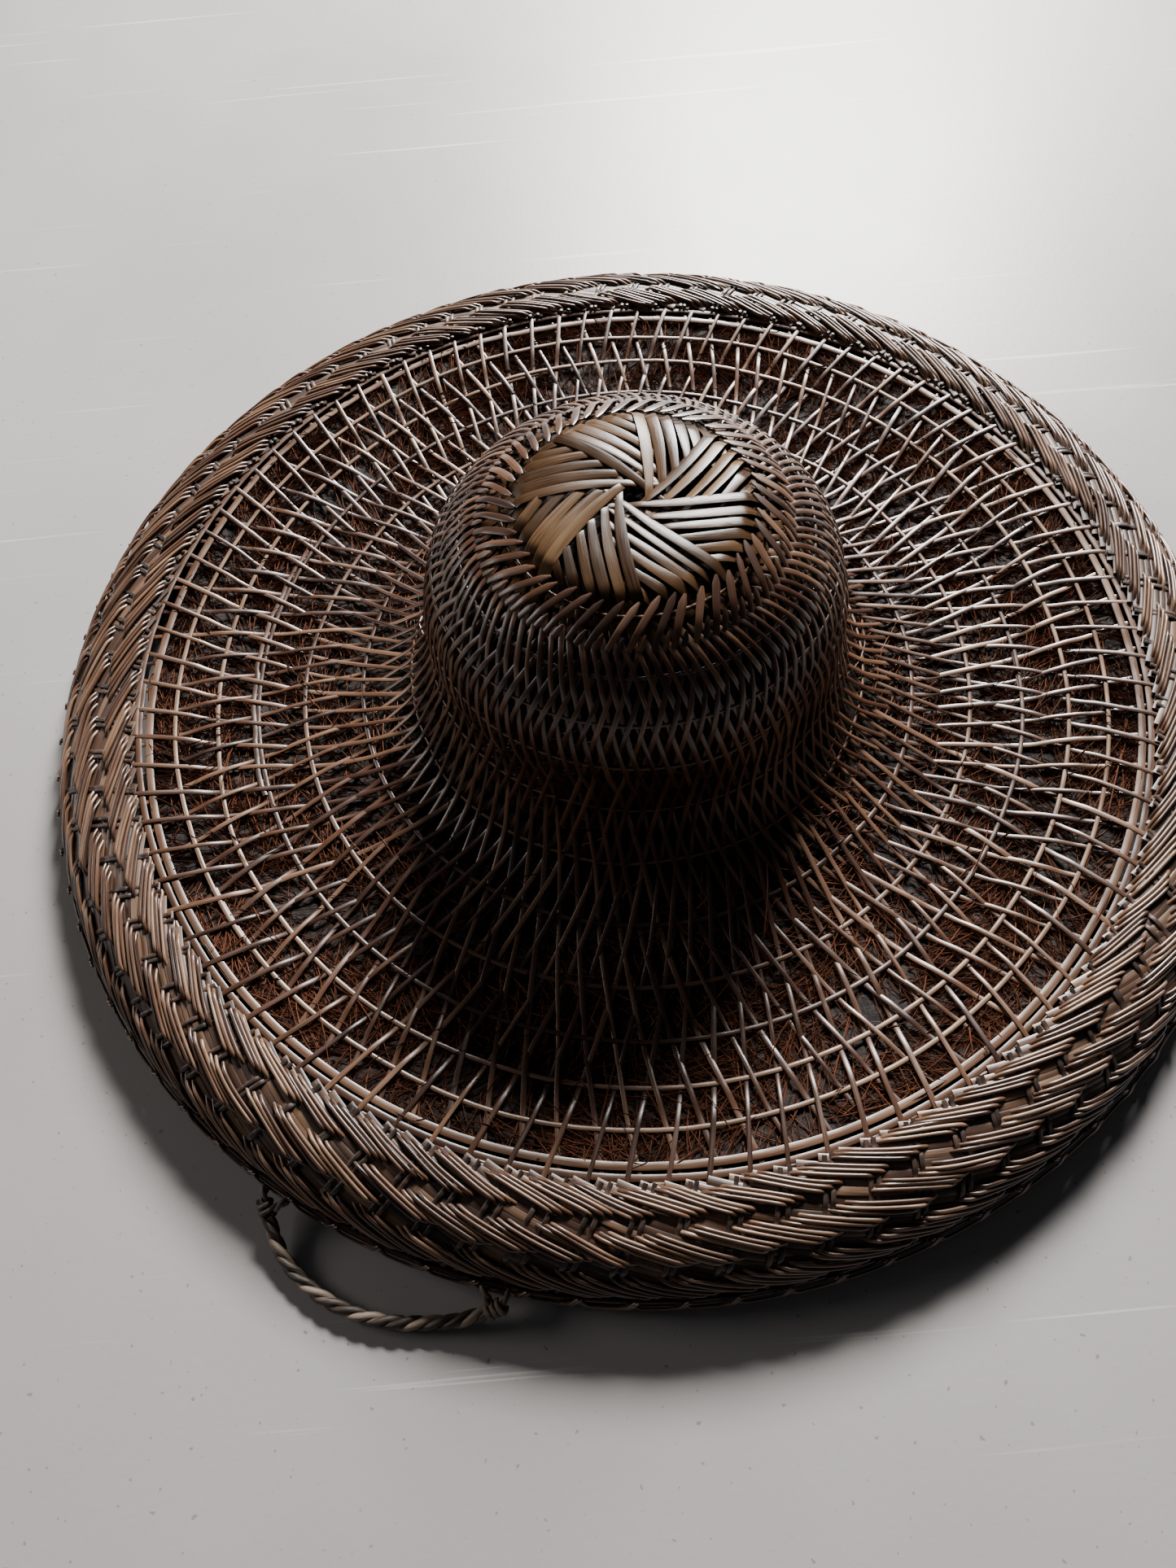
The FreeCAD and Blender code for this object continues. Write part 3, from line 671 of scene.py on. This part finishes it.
def rim_fill():
    """Roll of bast inside the rim, a dark lumpy ring under the strands."""
    low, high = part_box("rim_core")
    spokes, around = 360, 20
    turn = np.linspace(0, 2 * math.pi, spokes, endpoint=False)[:, None]
    section = np.linspace(0, 2 * math.pi, around, endpoint=False)[None]
    middle = high.x - 14.8 * MM
    radius = middle + np.cos(section) * 14.6 * MM + dice.normal(0, 0.15 * MM, (spokes, around))
    height = (low.z + high.z) / 2 - 0.7 * MM + np.sin(section) * 7.2 * MM
    points = np.stack([radius * np.cos(turn), radius * np.sin(turn), height + 0 * turn], -1)
    index = np.arange(spokes * around).reshape(spokes, around)
    quads = np.stack([index, np.roll(index, -1, 0), np.roll(np.roll(index, -1, 0), -1, 1),
                      np.roll(index, -1, 1)], -1)
    mesh_piece("rim_core_roll", points.reshape(-1, 3), quads.reshape(-1, 4).tolist(),
               np.zeros((points.size // 3, 3)), palm_mat, "palm_fibre", ["rim_core"], sharp=180)


def ring_strand(name, nodes, radius, height, thickness, drift, material=None, section=ROUND,
                width=None, first=0.0):
    """A thin hoop bound along the rim, a little uneven as it goes round."""
    sections = 480
    turn = np.linspace(0, 2 * math.pi * 1.01, sections)[None]
    out = radius + wander(1, sections, 30, drift)
    up = height + wander(1, sections, 24, drift * 0.5)
    points = np.stack([out * np.cos(turn + first), out * np.sin(turn + first), up], -1)
    normals = np.zeros_like(points)
    normals[..., 2] = 1
    mesh_piece(name, *sweep(points, normals, width or thickness, thickness, section),
               material or rim_bamboo, "rim_bamboo", nodes)


def rim_edges():
    """Hoops under the outer edge and the two strips along the inner edge."""
    base_low, base_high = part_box("rim_base_hoop")
    ring_strand("rim_base_strip", ["rim_base_hoop"], base_high.x - 3 * MM,
                (base_low.z + base_high.z) / 2, base_high.z - base_low.z - 0.1 * MM, 0.0,
                stake_bamboo, FLAT, 6 * MM)
    ring_strand("rim_lower_strand", ["rim_lower_hoop"], base_high.x - 0.6 * MM, base_high.z
                + 1.6 * MM, 2.2 * MM, 0.35 * MM)
    ring_strand("rim_lower_strand_second", [], base_high.x - 1.2 * MM, base_high.z + 4.0 * MM,
                1.8 * MM, 0.4 * MM, first=2.0)
    inner = weave.at_radius(strip_radius - 2.1 * MM)
    woven_hoop("rim_inner_strip_upper_bound", "rim_inner_strip_upper", inner, 3.0 * MM, 0.8 * MM,
               hoop_bamboo, "rim_bamboo", 0.4)
    woven_hoop("rim_inner_strip_lower_bound", "rim_inner_strip_lower", inner + 4.6 * MM, 2.6 * MM,
               0.8 * MM, hoop_bamboo, "rim_bamboo", 3.1, lift=0.4 * MM)


def rim_lacing():
    """Pairs of thin strands that hang in shallow scallops and hook up into the plait."""
    sections = 28
    share = np.linspace(0, 1, sections)[None]
    first = np.arange(BUNDLES)[:, None] * BUNDLE_PITCH
    first = first + dice.normal(0, 0.6 * MM, (BUNDLES, 1)) / rim_high.x
    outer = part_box("rim_lacing")[1].x
    made = []
    for strand in (0, 1):
        angle = first + BUNDLE_PITCH * (1.35 - 0.12 * strand) * (share - 0.5)
        rise = ease(share, 0.66, 1.0) ** 1.4 + 0.55 * (1 - ease(share, 0.0, 0.3))
        height = (4.4 + strand * 1.7) * MM + 8.4 * MM * rise * (1 - 0.15 * strand)
        height = height + dice.normal(0, 0.35 * MM, (BUNDLES, 1))
        out = outer - 1.0 * MM - 2.2 * MM * (1 - ease(share, 0.0, 0.3))
        out = out - 1.6 * MM * ease(share, 0.85, 1.0) - 0.2 * MM * strand
        points = np.stack([out * np.cos(angle), out * np.sin(angle), height], -1)
        normals = np.stack([np.cos(angle), np.sin(angle), 0 * angle], -1)
        made.append(sweep(points, normals, 1.15 * MM, 1.0 * MM, ROUND))
    mesh_piece("rim_lacing_scallops", *join(made), rim_bamboo, "rim_bamboo", ["rim_lacing"],
               sharp=80)


# --- cord loop ---------------------------------------------------------------------------------

CORD_DIAMETER = 5.5 * MM
WRAP_RADIUS, WRAP_PITCH = 2.3 * MM, 2.3 * MM
WRAP_STRAND = 2.2 * MM
CORD_ROUTE = [
    (-0.1606, -0.2254, 0.0080), (-0.1581, -0.2357, 0.0046), (-0.1514, -0.2459, 0.0030),
    (-0.1408, -0.2550, 0.0030), (-0.1277, -0.2617, 0.0030), (-0.1136, -0.2655, 0.0030),
    (-0.1002, -0.2663, 0.0030), (-0.0886, -0.2666, 0.0044), (-0.0789, -0.2642, 0.0076),
]


def route_line(points):
    """Points along the smooth curve that has the route as its control points."""
    curve = bpy.data.curves.new("cord_route", "CURVE")
    curve.dimensions = "3D"
    curve.resolution_u = 24
    spline = curve.splines.new("NURBS")
    spline.points.add(len(points) - 1)
    for control, point in zip(spline.points, points):
        control.co = (*point, 1)
    spline.order_u = 3
    spline.use_endpoint_u = True
    holder = bpy.data.objects.new("cord_route", curve)
    bpy.context.scene.collection.objects.link(holder)
    mesh = bpy.data.meshes.new_from_object(holder)
    line = np.array([vertex.co for vertex in mesh.vertices])
    bpy.data.objects.remove(holder)
    bpy.data.meshes.remove(mesh)
    bpy.data.curves.remove(curve)
    return line


def plies(line, count, ply, offset, pitch):
    """Strands twisted about a line."""
    steps = np.linalg.norm(np.diff(line, axis=0), axis=1)
    along = np.concatenate([[0], np.cumsum(steps)])
    ahead = unit(np.gradient(line, along, axis=0))
    side = unit(np.cross(ahead, (0, 0, 1)))
    upright = np.cross(side, ahead)
    turn = along[None] / pitch * 2 * math.pi + np.arange(count)[:, None] * 2 * math.pi / count
    out = np.cos(turn)[..., None] * side + np.sin(turn)[..., None] * upright
    return sweep(line[None] + out * offset, out, ply, ply, ROUND)


def knot_wraps(face, outwards):
    """Turns of thin strand whipped round a knot."""
    along = np.linspace(0, 6 * MM, 90)
    axis = Vector(outwards).normalized()
    side = axis.orthogonal().normalized()
    other = axis.cross(side)
    turn = along / WRAP_PITCH * 2 * math.pi
    rings = (np.array(face)[None] + along[:, None] * np.array(axis)
             + np.cos(turn)[:, None] * np.array(side) * WRAP_RADIUS
             + np.sin(turn)[:, None] * np.array(other) * WRAP_RADIUS)
    out = unit(rings - (np.array(face)[None] + along[:, None] * np.array(axis)))
    return sweep(rings[None], out[None], WRAP_STRAND, WRAP_STRAND, ROUND)


def hanging_loop():
    """The cord of three plies along its route, with a knot and two legs to the rim at each end."""
    line = route_line(CORD_ROUTE)
    cord = mesh_piece("hanging_loop_cord", *plies(line, 3, CORD_DIAMETER * 0.54,
                                                  CORD_DIAMETER * 0.23, 21 * MM),
                      cord_fibre, "cord_fibre", ["hanging_loop"], sharp=80)
    for label, face, toward in (("left", line[0], line[0] - line[3]),
                                ("right", line[-1], line[-1] - line[-4])):
        toward = unit(toward)
        wraps = [knot_wraps(face, toward)]
        inward = np.array([-face[0], -face[1], 0.0])
        inward /= np.linalg.norm(inward)
        around = np.array([-inward[1], inward[0], 0.0])
        for branch in (-1, 1):
            start = face + toward * 2 * MM
            stop = start + inward * 7 * MM + around * branch * 5.0 * MM + np.array((0, 0, 3 * MM))
            middle = (start + stop) / 2 + around * branch * 1.6 * MM + np.array((0, 0, 1.6 * MM))
            share = np.linspace(0, 1, 14)[:, None]
            leg = (1 - share) ** 2 * start + 2 * share * (1 - share) * middle + share**2 * stop
            wraps.append(plies(leg, 2, 1.9 * MM, 0.8 * MM, 9 * MM))
        mesh_piece(f"loop_knot_{label}_wraps", *join(wraps), cord_fibre, "cord_fibre",
                                [f"loop_knot_{label}"], sharp=80)


# --- stage, light and camera -------------------------------------------------------------------

def stage():
    """The flat floor that the hat stands on."""
    mesh = bpy.data.meshes.new("floor")
    reach = 3.0
    mesh.from_pydata([(-reach, -reach, 0), (reach, -reach, 0), (reach, reach, 0),
                      (-reach, reach, 0)], [], [(0, 1, 2, 3)])
    floor = bpy.data.objects.new("floor", mesh)
    floor.data.materials.append(concrete())
    bpy.context.scene.collection.objects.link(floor)


def area_light(name, azimuth, elevation, distance, size, power, color):
    """A soft panel aimed at the hat from a bearing and a height in degrees."""
    bearing, height = math.radians(azimuth), math.radians(elevation)
    away = Vector((math.cos(bearing) * math.cos(height), math.sin(bearing) * math.cos(height),
                   math.sin(height)))
    lamp = bpy.data.lights.new(name, "AREA")
    lamp.shape = "RECTANGLE"
    lamp.size, lamp.size_y = size
    lamp.energy = power
    lamp.color = color
    holder = bpy.data.objects.new(name, lamp)
    holder.location = away * distance
    holder.rotation_euler = away.to_track_quat("Z", "Y").to_euler()
    bpy.context.scene.collection.objects.link(holder)


def lights():
    """A window behind the hat, a weak doorway on its left and almost no light from the room."""
    area_light("window", 74, 33, 2.2, (0.7, 0.5), 200, (1.0, 0.97, 0.94))
    area_light("doorway", 165, 24, 3.0, (1.2, 0.8), 20, (1.0, 0.93, 0.88))
    world = bpy.data.worlds.new("room")
    world.use_nodes = True
    world.node_tree.nodes["Background"].inputs["Color"].default_value = (0.62, 0.64, 0.68, 1)
    world.node_tree.nodes["Background"].inputs["Strength"].default_value = 0.04
    bpy.context.scene.world = world


def camera():
    """Close, from above the front, with the camera turned a little about its own axis."""
    elevation, roll = math.radians(63.1), math.radians(-5.1)
    distance = 0.493
    target = Vector((-0.0263, -0.0515, 0))
    back = Vector((0, -math.cos(elevation), math.sin(elevation)))
    level, upright = Vector((1, 0, 0)), Vector((0, math.sin(elevation), math.cos(elevation)))
    right = level * math.cos(roll) + upright * math.sin(roll)
    top = upright * math.cos(roll) - level * math.sin(roll)
    lens = bpy.data.cameras.new("camera")
    lens.sensor_fit = "HORIZONTAL"
    lens.sensor_width = 36
    lens.lens = 33.1
    lens.clip_start = 0.01
    holder = bpy.data.objects.new("camera", lens)
    holder.matrix_world = Matrix.Translation(target + back * distance) @ Matrix(
        (right, top, back)).transposed().to_4x4()
    bpy.context.scene.collection.objects.link(holder)
    bpy.context.scene.camera = holder


camera()
hanging_loop()
splint_family("outer_splints_clockwise_woven", -1, "outer_splints_clockwise",
              (ring_distance - 5 * MM, ring_distance + 7 * MM))
splint_family("outer_splints_anticlockwise_woven", 1, "outer_splints_anticlockwise",
              (ring_distance + 1 * MM, ring_distance + 5 * MM))
hoops()
pinwheel()
lining_and_fibres()
inner_weave()
rim_fill()
border_backing()
border_bundles()
border_stakes()
rim_edges()
rim_lacing()
stage()
lights()
